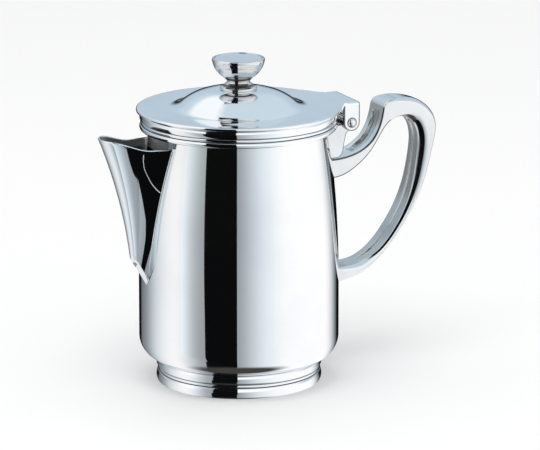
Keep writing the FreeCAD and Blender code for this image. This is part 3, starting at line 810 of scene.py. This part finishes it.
# %% Rivet pin
HEAD_Y, HEAD_R, HEAD_H = 13.6, 2.0, 1.1
BALL_R = (HEAD_R ** 2 + HEAD_H ** 2) / (2 * HEAD_H)
rise = math.asin(HEAD_R / BALL_R)
head = [(BALL_R * math.sin(a), HEAD_Y + HEAD_H - BALL_R + BALL_R * math.cos(a))
        for a in [rise * i / 12 for i in range(13)]]
pin_side = head + [(HEAD_R, HEAD_Y), (PIN_R, HEAD_Y), (PIN_R, -HEAD_Y), (HEAD_R, -HEAD_Y)]
pin_side += [(r, -y) for r, y in head[::-1]]
pin = turned("hinge_pin_skin", pin_side, cast_polished, closed=False, edge=0.15, turns=64)
for vertex in pin.data.vertices:
    x, y, z = vertex.co
    vertex.co = (PIN_X * MM + x, z, PIN_Z * MM - y)
placed(pin, "pot", "polished_steel", "hinge_pin")

# %% [markdown]
# ## Spout
# The spout is a sheet beak, soldered over the hole in the wall. Level slices through it are U
# shapes whose nose grows from the foot of the keel to the lip. The lip is level at the tip and
# sways down towards the body, and a keeled chin closes the beak underneath. The mesh runs in
# columns from the chin over the lip and back down inside, so that reflections flow along it.

# %% Sizes and slices of the spout
SHEET = 1.0
TIP_Z, KEEL_Z, RIM_Z = 118.7, 61.7, 114.5
SPOUT_H = TIP_Z - KEEL_Z
TIP_OUT, FOOT_OUT, BOW = 22.4, 7.7, 2.1
TIP_HALF, FOOT_HALF, TIP_NOSE, FOOT_NOSE = 14.8, 4.0, 11.0, 3.6
LIP_W, DIP_W, CHIN_DROP = 2.0, 18.0, 12.7
CHIN_TILT = math.tan(math.radians(42.0))
SIDE_BOW = math.radians(9.0)
NOSE_POINTS, SIDE_POINTS = 15, 18


def keel_x(z):
    share = (z - KEEL_Z) / SPOUT_H
    return -(BODY_R + FOOT_OUT + (TIP_OUT - FOOT_OUT) * share - 4 * BOW * share * (1 - share))


def slice_at(z, inset):
    """Points of the level slice at a height, from the near wall round the nose to the far wall."""
    share = (z - KEEL_Z) / SPOUT_H
    nose = FOOT_NOSE + (TIP_NOSE - FOOT_NOSE) * share
    half = FOOT_HALF + (TIP_HALF - FOOT_HALF) * (z - KEEL_Z) / (RIM_Z - KEEL_Z)
    centre = keel_x(z) + nose
    root = -math.sqrt(max(wall_r(z) ** 2 - half ** 2, 1.0))
    lean = math.atan2(half, root - centre) - math.asin(min(nose / math.hypot(root - centre, half), 1.0))
    first = math.pi / 2 - max(lean, math.radians(2.0)) - SIDE_BOW
    joint = Vector((centre - nose * math.cos(first), nose * math.sin(first)))
    chord = Vector((root, half)) - joint
    bend = max(math.atan2(chord.x, chord.y) - first, math.radians(1.0))
    bow_r = chord.length / (2 * math.sin(bend))
    bow_x = joint.x + bow_r * math.cos(first)
    bow_y = joint.y - bow_r * math.sin(first)
    low, high = first, math.pi * 0.75
    for _ in range(24):
        middle = (low + high) / 2
        place = (bow_x - (bow_r - inset) * math.cos(middle), bow_y + (bow_r - inset) * math.sin(middle))
        low, high = (middle, high) if math.hypot(*place) > wall_r(z) - WALL / 2 else (low, middle)
    turns = np.linspace(low, first, SIDE_POINTS, endpoint=False)
    far = [(bow_x - (bow_r - inset) * math.cos(a), bow_y + (bow_r - inset) * math.sin(a)) for a in turns]
    turns = np.linspace(first, 0.0, NOSE_POINTS)
    far += [(centre - (nose - inset) * math.cos(a), (nose - inset) * math.sin(a)) for a in turns]
    return [(x, -y) for x, y in far] + far[-2::-1]


def ramp(value, low, high):
    """A soft step in plain numbers: 0 below low, 1 above high."""
    share = min(max((value - low) / (high - low), 0.0), 1.0)
    return share * share * (3 - 2 * share)


def lip_z(x):
    """Height of the beak's edge at a place along it."""
    return TIP_Z - (TIP_Z - RIM_Z) * ramp(x - keel_x(TIP_Z), LIP_W, LIP_W + DIP_W)


def chin_z(x, y, lift):
    """Height of the chin's two sloping sides."""
    keel = keel_x(KEEL_Z) - lift
    slope = CHIN_DROP / (-BODY_R - keel)
    return KEEL_Z + lift - slope * (x - keel) + CHIN_TILT * abs(y)


print("slice at the lip has", len(slice_at(TIP_Z, 0.0)), "points")


# %% Columns of the spout
ROWS, CHIN_ROWS, LIP_ROWS = 46, 6, 7
START_Z = 90.0


def column_end(column, inset, height):
    """Where a column meets the lip or the chin, found by stepping towards it."""
    z = height(*slice_at(START_Z, inset)[column])
    for _ in range(12):
        z = height(*slice_at(z, inset)[column])
    return z


def sheet_column(column, inset):
    """One face of the sheet: up a column from its chin line to just under the lip."""
    top = column_end(column, inset, lambda x, y: lip_z(x)) - SHEET / 2
    low = column_end(column, inset, lambda x, y: chin_z(x, y, inset))
    return [(*slice_at(z, inset)[column], z) for z in np.linspace(low, top, ROWS)]


def chin_column(point, inset):
    """Out from the wall to the chin line, along the chin's sloping side."""
    x, y, z = point
    inside = -math.sqrt((BODY_R - WALL / 2) ** 2 - y * y)
    places = [x + (inside - x) * i / CHIN_ROWS for i in range(CHIN_ROWS, 0, -1)]
    return [(place, y, chin_z(place, y, inset)) for place in places]


columns = []
for column in range(len(slice_at(START_Z, 0.0))):
    outer = sheet_column(column, 0.0)
    inner = sheet_column(column, SHEET)
    out_top, in_top = np.array(outer[-1]), np.array(inner[-1])
    over = [tuple((out_top + in_top) / 2 + (out_top - in_top) / 2 * math.cos(a)
                  + np.array((0, 0, SHEET / 2)) * math.sin(a))
            for a in np.linspace(0, math.pi, LIP_ROWS + 2)[1:-1]]
    columns.append(chin_column(outer[0], 0.0) + outer + over + inner[::-1]
                   + chin_column(inner[0], SHEET)[::-1])
lip_end = CHIN_ROWS + ROWS + LIP_ROWS
# The spout's outside is the darker, bluer steel with its painted reflection tint, and its inside is dark
# satin with painted shade.
spout = skin("spout_skin", columns, [spout_polished, spout_inside], 32.0,
             lambda column, place: place >= lip_end)
placed(spout, "pot", "polished_steel", "spout")

# %% [markdown]
# ## Handle
# The handle is one casting: a thin arm rises from the body to a rounded shoulder, and a thicker
# grip goes over the arch and back down. Smooth rails give its outside and its inside, measured
# from the body's side and the neck. Between them a section is stretched at each step: a rounded
# back along the grip, and a shallow channel on the sides that face the body. Painted shade darkens
# the arm's edges, the arm's channel and the grip's face towards the body, which are also rougher.

# %% Rails of the handle
ARM = [(-5.5, -17.8), (3.5, -17.3), (11.5, -15.1), (17.5, -11.0), (21.2, -5.3), (23.2, 0.8), (23.8, 3.8)]
BACK = [(23.8, 3.8), (24.2, 5.1), (25.2, 6.3), (27.0, 7.1), (31.8, 7.8), (42.0, 6.4), (49.4, 1.2),
        (52.2, -6.0), (51.2, -14.3), (45.4, -34.3), (32.5, -55.9), (23.3, -66.7), (14.9, -73.4),
        (5.5, -76.3), (-4.0, -76.9)]
LOOP = [(-5.5, -27.0), (3.0, -25.9), (10.6, -21.9), (17.5, -15.6), (22.9, -7.6), (27.0, -2.6), (33.5, -0.6),
        (39.8, -4.0), (42.5, -11.0), (42.0, -20.3), (40.2, -30.8), (37.0, -41.1), (28.2, -56.3),
        (21.6, -63.4), (15.7, -67.1), (8.5, -69.1), (-4.0, -69.5)]


def smooth_rail(points, count):
    """A natural cubic curve through points, sampled evenly along its length."""
    knots = np.array(points, float)
    known = lengths(knots)
    gaps = np.diff(known)
    size = len(knots)
    grid = np.eye(size)
    kinks = np.zeros((size, 2))
    for i in range(1, size - 1):
        grid[i, i - 1:i + 2] = gaps[i - 1], 2 * (gaps[i - 1] + gaps[i]), gaps[i]
        kinks[i] = 6 * ((knots[i + 1] - knots[i]) / gaps[i] - (knots[i] - knots[i - 1]) / gaps[i - 1])
    bends = np.linalg.solve(grid, kinks)
    places = np.linspace(0, known[-1], count * 8)
    k = np.clip(np.searchsorted(known, places, "right") - 1, 0, size - 2)
    past, left, gap = (places - known[k])[:, None], (known[k + 1] - places)[:, None], gaps[k][:, None]
    fine = (bends[k] * left ** 3 + bends[k + 1] * past ** 3) / (6 * gap)
    fine += ((knots[k] / gap - bends[k] * gap / 6) * left
             + (knots[k + 1] / gap - bends[k + 1] * gap / 6) * past)
    run = lengths(fine)
    return resampled(fine, run, np.linspace(0, run[-1], count))


EASE = 12
arm_rail, back_rail, loop_rail = smooth_rail(ARM, 70), smooth_rail(BACK, 240), smooth_rail(LOOP, 900)
outer_rail = np.vstack([arm_rail, back_rail[1:]])
nearest = np.array([np.argmin(np.hypot(*(loop_rail - point).T)) for point in outer_rail])
nearest[0], nearest[-1] = 0, len(loop_rail) - 1
nearest = np.maximum.accumulate(nearest)
longer = np.r_[[nearest[0]] * EASE, nearest, [nearest[-1]] * EASE]
smooth = np.convolve(longer, np.ones(2 * EASE + 1) / (2 * EASE + 1), "valid")
inner_rail = resampled(loop_rail, np.arange(len(loop_rail)), smooth)
thickness = np.hypot(*(outer_rail - inner_rail).T)
print("handle thickness from", round(float(thickness.min()), 1), "to", round(float(thickness.max()), 1), "mm")

# %% Sections of the handle
HANDLE_HALF, SKIM = 7.5, 0.03
ARM_CHANNEL, ARM_DEPTH = 3.0, 1.2
LOOP_CHANNEL, LOOP_DEPTH = 0.9, 0.8
SHARP_EDGE, CROWN_EDGE, GRIP_EDGE = 0.7, (7.1, 2.6), (0.6, 10.0, 4.2)
GRIP_TURNS = [math.radians(a) for a in (0.0, 42.0, 57.0, 90.0)]
FLAT_POINTS, EDGE_POINTS = 18, 18


def oval_edge(wide, tall):
    """An edge as a quarter of an oval: (across, drop) from the face round to the side."""
    turns = np.linspace(0, math.pi / 2, EDGE_POINTS + 1)[1:]
    return [(wide * math.sin(a), tall - tall * math.cos(a)) for a in turns]


def grip_edge(radii):
    """A crisp edge, a broad slope and a rounder side, as a chain of three arcs."""
    line = [(0.0, 0.0)]
    for radius, first, last in zip(radii, GRIP_TURNS, GRIP_TURNS[1:]):
        across, drop = line[-1]
        for a in np.linspace(first, last, EDGE_POINTS // 3 + 1)[1:]:
            line.append((across + radius * (math.sin(a) - math.sin(first)),
                         drop + radius * (math.cos(first) - math.cos(a))))
    return line[1:]


def half_face(edge, depth, channel):
    """Half of one face from its middle to the side: (across, drop), with a channel and its edge."""
    start = HANDLE_HALF - edge[-1][0]
    y = np.linspace(0, start, FLAT_POINTS)
    line = list(zip(y, depth / (1 + np.exp((y - channel) / 0.15))))
    return line + [(start + across, drop) for across, drop in edge]


def between(first, last, share):
    return first + (last - first) * share


def handle_ring(i):
    """The section at one step: its back from middle to side, its loop face, and back again.
    Rounding and channels come and go at shares of the way along the arm or the back."""
    across = outer_rail[i] - inner_rail[i]
    thick = float(np.hypot(*across)) - SKIM
    up = across / np.hypot(*across)
    at = i / (len(arm_rail) - 1)
    tail = (i - len(arm_rail) + 1) / (len(back_rail) - 1)
    on_arm = at < 1.0
    round_back = 0.0 if on_arm else ramp(tail, 0.0, 0.20) * (1 - 0.75 * ramp(tail, 0.80, 1.0))
    round_loop = 0.0 if on_arm else ramp(tail, 0.02, 0.22) * (1 - 0.8 * ramp(tail, 0.84, 0.99))
    top_depth = ramp(at, 0.34, 0.44) * (1 - ramp(at, 0.90, 0.96)) if on_arm else 0.0
    low_depth = 0.0 if on_arm else ramp(tail, 0.17, 0.23) * (1 - ramp(tail, 0.80, 0.87))
    fits = min(1.0, (thick - 0.4) / (CROWN_EDGE[1] + grip_edge(GRIP_EDGE)[-1][1]))
    crown = [between(SHARP_EDGE, size, round_back * fits) for size in CROWN_EDGE]
    grip = [between(SHARP_EDGE, size, round_loop * fits) for size in GRIP_EDGE]
    back = half_face(oval_edge(*crown), ARM_DEPTH * top_depth, ARM_CHANNEL)
    loop = half_face(grip_edge(grip), LOOP_DEPTH * low_depth, LOOP_CHANNEL)
    side = [(y, thick - drop) for y, drop in back] + [(y, drop) for y, drop in loop[::-1]]
    points = []
    for y, h in side + [(-y, h) for y, h in side[::-1]]:
        x, z = inner_rail[i] + up * h
        points.append((BODY_R + x, y, NECK_Z + z))
    return points


print("handle section of", len(handle_ring(0)), "points")

# %% Skin of the handle
CHANNEL_POINTS, CHANNEL_FROM, CHANNEL_TO = 8, 0.36, 0.94


def clear_of_wall(ring):
    return all(math.hypot(x, y) > wall_r(z) + 0.1 for x, y, z in ring)


steps = [i for i in range(len(outer_rail)) if clear_of_wall(handle_ring(i))]
kept = [handle_ring(i) for i in steps]


def root_rings(depth):
    """The handle's two end rings, carried on to a depth in the wall."""
    return [[(on_wall(y, z, depth), y, z) for x, y, z in ring] for ring in (kept[0], kept[-1])]


def handle_finish(ring, place):
    """0 for polished steel, 1 for rougher steel with painted shade in the arm's channel and on the grip's
    face towards the body, 2 for near-black painted shade on the arm's edges.
    """
    step = steps[min(max(ring - 1, 0), len(steps) - 1)]
    half = FLAT_POINTS + EDGE_POINTS
    from_back = min(place, 4 * half - 2 - place)
    if step >= len(arm_rail):
        return 1 if from_back >= half + EDGE_POINTS - 1 else 0
    if from_back < CHANNEL_POINTS and CHANNEL_FROM < step / len(arm_rail) < CHANNEL_TO:
        return 1
    on_back_edge = FLAT_POINTS - 1 <= from_back < half - 1
    on_loop_edge = half <= from_back < half + EDGE_POINTS
    return 2 if on_back_edge or on_loop_edge else 0


upper_root, lower_root = root_rings(WALL / 2)
# The handle's steels: polished, rougher with painted shade, and near-black painted shade on the arm's edges.
handle = skin("handle_skin", [upper_root] + kept + [lower_root], [cast_polished, cast_dull, edge_dull],
              38.0, handle_finish)
placed(handle, "pot", "cast_steel", "handle")

# %% [markdown]
# ## Solder seams
# The spout, the handle and the post are soldered to the body, and each joint shows as a thin bright
# line of solder. The line could be part of each piece, but it follows a path on the wall. So a
# second Geometry Nodes tree carries a small round bead along the line where the pieces meet.


# %% The bead tree
BEAD_STEP, BEAD_SIDES = 0.7, 12


def bead_tree():
    bench, given = new_tree("bead", ("Path", "Geometry"), ("Radius", "Float"), ("Sides", "Int"),
                            ("Finish", "Material"))
    path = bench.node("GeometryNodeMeshToCurve", None, {"Mesh": given})
    round_bar = bench.node("GeometryNodeCurvePrimitiveCircle", {"mode": "RADIUS"},
                           {"Resolution": given.also("Sides"), "Radius": given.also("Radius")})
    bead = bench.node("GeometryNodeCurveToMesh", None,
                      {"Curve": path, "Profile Curve": round_bar, "Fill Caps": True})
    return end_tree(bench, bead, given)


BEAD = bead_tree()


def seam(name, points, radius, closed):
    """A bead of solder along points in millimetres, made even along its length."""
    line = np.array(points + points[:1] if closed else points, float)
    known = np.r_[0, np.cumsum(np.linalg.norm(np.diff(line, axis=0), axis=1))]
    places = np.linspace(0, known[-1], int(known[-1] / BEAD_STEP), endpoint=not closed)
    piece = path_piece(name, (resampled(line, known, places) * MM).tolist(), closed)
    tree_modifier(piece, BEAD, Radius=radius * MM, Sides=BEAD_SIDES, Finish=wheel_polished)
    baked(piece)
    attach(piece, "pot")
    print(name, "is", round(float(known[-1]), 1), "mm long")


print("bead tree:", len(BEAD.nodes), "nodes")

# %% Seams of spout, post and handle
spout_line = []
for z in np.linspace(RIM_Z - 1.0, KEEL_Z - 6.0, 60):
    x, y = slice_at(z, 0.0)[0]
    if z > chin_z(x, y, 0.0):
        grow = wall_r(z) / math.hypot(x, y)
        spout_line.append((x * grow, y * grow, z))
chin_half = abs(spout_line[-1][1])
chin_line = []
for y in np.linspace(-chin_half, chin_half, 24)[1:-1]:
    x = -math.sqrt(BODY_R ** 2 - y * y)
    chin_line.append((x, y, chin_z(x, y, 0.0)))
seam("spout_seam", spout_line + chin_line + [(x, -y, z) for x, y, z in spout_line[::-1]], 0.32, False)
for place, line in zip(("upper", "lower"), root_rings(0.0)):
    seam("handle_" + place + "_seam", line, 0.35, True)
across = np.linspace(-POST_HALF, POST_HALF, 12)
seat_line = [(-POST_HALF, z) for z in seat[:-1]] + [(y, POST_TOP) for y in across]
seat_line += [(POST_HALF, z) for z in seat[-2::-1]] + [(y, POST_LOW) for y in across[-2:0:-1]]
seam("hinge_post_seam", [(on_wall(y, z, 0.0), y, z) for y, z in seat_line], 0.3, True)

# %% [markdown]
# ## Surroundings
# A mirror shows the studio. Photographers surround such a pot with white paper and leave a dark
# gap for the camera, which becomes the black stripe down the body. Here the paper tent is the
# world itself: a soft ramp of greys round the pot, a paler roof, and dark gaps in front and behind.
# The tent is far away, so the spout's flat flank would mirror one tone all over. Small cards close
# to it give it a pale front, a dark side and a thin glint. Three of them are see-through from
# behind, so that the body doesn't mirror them too.

# %% Paper tent
world = bpy.data.worlds.new("paper_tent")
bpy.context.scene.world = world
world.use_nodes = True
tent = Bench(world.node_tree)
ray = tent.split(tent.node("ShaderNodeTexCoord", out="Generated"))
cosine, sine = math.cos(VIEW_TURN), math.sin(VIEW_TURN)
ahead = ray * sine + ray.also("Y") * -cosine
right = ray * cosine + ray.also("Y") * sine
turn = ahead.sum("ARCTAN2", right, ahead + math.cos(VIEW_RISE)) * (360 / math.pi)
height = ray.sum("ARCSINE", ray.also("Z")) * (180 / math.pi)
BRIGHTEST = 1.2
# The paper's tone at each turn round the pot, in degrees from the camera's direction.
ROUND = [(-180, 0.06), (-154, 0.14), (-138, 0.28), (-126, 0.42), (-112, 0.78), (-96, 1.0), (-80, 1.1),
         (-68, 1.0), (-56, 0.7), (-44, 0.44), (-12, 0.32), (0, 0.36), (16, 0.7), (32, 0.96),
         (56, 1.18), (118, 1.2), (128, 1.0), (138, 0.6), (148, 0.14), (158, 0.05)]
COOL = (0.91, 1.0, 1.05)
stops = [((a + 180) / 360, tuple(min(v * (k if v < 1.0 else 1.0) / BRIGHTEST, 1.0) for k in COOL))
         for a, v in ROUND]
paper = tent.node("ShaderNodeValToRGB", {"stops": stops}, {"Fac": turn * (1 / 360) + 0.5})
paper = tent.node("ShaderNodeVectorMath", {"operation": "SCALE"}, {0: paper, "Scale": BRIGHTEST})
overhead = (0.66, 0.80, 0.89, 1)
roof_back = tent.mix(height.above(14, 34), (0.54, 0.66, 0.76, 1), overhead)
roof_front = tent.mix(height.above(36, 52), (1.16, 1.17, 1.18, 1), overhead)
roof = tent.mix(ahead.above(-0.45, 0.15), roof_back, roof_front)
window = turn.above(-125, -95) * (1 - turn.above(-50, -22))
window = window * height.above(26, 42) * (1 - height.above(70, 84))
roof = tent.mix(window, roof, (1.10, 1.13, 1.15, 1))
surround = tent.mix(height.above(1, 12), paper, roof)
stripe = turn.above(-38.6, -37.4) * (1 - turn.above(-2.8, -1.6)) * (1 - height.above(56, 64))
behind = turn.size().above(148, 156) * (1 - height.above(-3, 5))
surround = tent.mix(stripe.larger(behind), surround, (0.004, 0.005, 0.006, 1))
surround = tent.mix(1 - height.above(-72, -56), surround, (0.06, 0.058, 0.055, 1))
mirrored = tent.node("ShaderNodeLightPath", out="Is Glossy Ray")
surround = tent.mix(mirrored, (0.93, 0.93, 0.93, 1), surround)
glow = tent.node("ShaderNodeBackground", None, {"Color": surround, "Strength": 1.0})
tent.node("ShaderNodeOutputWorld", None, {"Surface": glow})
print("tent of", len(world.node_tree.nodes), "nodes")

# %% Cards beside the spout
PAPER_TINT = (0.93, 1.0, 1.04)
CARD_LOW, CARD_TOP = -5.0, 125.0
BLACK = (0.004, 0.004)


def card(name, corners, tones, one_sided=False):
    """An upright card that only mirrors see, with its tone running from its right to its left end."""
    mesh = bpy.data.meshes.new(name)
    mesh.from_pydata([Vector(corner) * MM for corner in corners], [], [tuple(range(len(corners)))])
    material, bench = new_finish(name + "_paper")
    x = bench.split(bench.node("ShaderNodeTexCoord", out="Object"))
    left, right = corners[1][0] * MM, corners[0][0] * MM
    ends = [(*[v * tint for tint in PAPER_TINT], 1.0) for v in tones[::-1]]
    glow = bench.node("ShaderNodeEmission", None, {"Color": bench.mix(x.above(left, right), *ends)})
    if one_sided:
        back = bench.node("ShaderNodeNewGeometry", out="Backfacing")
        clear = bench.node("ShaderNodeBsdfTransparent")
        glow = bench.node("ShaderNodeMixShader", None, {0: back, 1: glow, 2: clear})
    bench.node("ShaderNodeOutputMaterial", None, {"Surface": glow})
    mesh.materials.append(material)
    piece = shown(mesh, name)
    piece.visible_camera = piece.visible_diffuse = piece.visible_shadow = False


card("pale_card", [(-62.0, -50.0, CARD_LOW), (-110.0, -18.0, CARD_LOW),
                   (-110.0, -18.0, CARD_TOP), (-70.0, -50.0, CARD_TOP)], (0.40, 1.06))
card("dark_card", [(-23.5, -51.0, CARD_LOW), (-75.0, -51.0, CARD_LOW),
                   (-75.0, -51.0, CARD_TOP), (-23.5, -51.0, CARD_TOP)], BLACK)
print("two wide cards")


# %% Cards on the flank's side only
def slanted(points, shift):
    """Corners on an upright plane that faces the spout's flank and turns its back to the body."""
    return [(x, x * 4 / 3 + shift, z) for x, z in points]


NEAR_SHIFT, FAR_SHIFT = 37.35, 52.0
LOW = [(-46.5, CARD_LOW), (-68.0, CARD_LOW), (-68.0, 72.0), (-59.0, 68.5), (-52.0, 65.0),
       (-49.0, 58.0), (-46.5, 42.0)]
HIGH = [(-60.0, 87.0), (-65.5, 84.0), (-69.0, 84.5), (-70.8, 87.5), (-74.0, 105.0), (-60.0, 105.0)]
GLINT = [(-55.0, 96.0), (-55.6, 91.8), (-55.0, 89.2), (-53.0, 88.5), (-47.5, 88.2), (-41.7, 88.6)]
GLINT_HALF = 0.27
glint = [(x + GLINT_HALF, z + GLINT_HALF) for x, z in GLINT]
glint += [(x - GLINT_HALF, z - GLINT_HALF) for x, z in GLINT[::-1]]
card("low_card", slanted(LOW, NEAR_SHIFT), (0.45, 0.55), True)
card("high_card", slanted(HIGH, FAR_SHIFT), BLACK, True)
card("glint_card", slanted(glint, NEAR_SHIFT), (0.9, 0.9), True)
print("three one-sided cards")

# %% Floor and lamp
FAR = 6.0
floor_mesh = bpy.data.meshes.new("floor")
floor_mesh.from_pydata([(-FAR, -FAR, 0), (FAR, -FAR, 0), (FAR, FAR, 0), (-FAR, FAR, 0)], [], [(0, 1, 2, 3)])
floor = shown(floor_mesh, "floor")
floor.visible_glossy = False
pale, bench = new_finish("pale_floor")
mottle = bench.noise(bench.node("ShaderNodeTexCoord", out="Object"), 3.0, 3.0)
matt = bench.node("ShaderNodeBsdfPrincipled", None,
                  {"Base Color": bench.mix(mottle, (0.86, 0.86, 0.86, 1), (0.89, 0.89, 0.885, 1)),
                   "Roughness": 0.9})
bench.node("ShaderNodeOutputMaterial", None, {"Surface": matt})
floor_mesh.materials.append(pale)
lamp = bpy.data.objects.new("soft_lamp", bpy.data.lights.new("soft_lamp", "AREA"))
lamp.data.size = 1.4
lamp.data.energy = 14.0
lamp.location = (-0.5, -0.7, 1.9)
lamp.rotation_euler = (Vector((0, 0, 0.05)) - Vector(lamp.location)).to_track_quat("-Z", "Y").to_euler()
lamp.visible_glossy = False
bpy.context.scene.collection.objects.link(lamp)
bpy.context.scene.view_settings.view_transform = "Standard"
print("floor and lamp are in place")
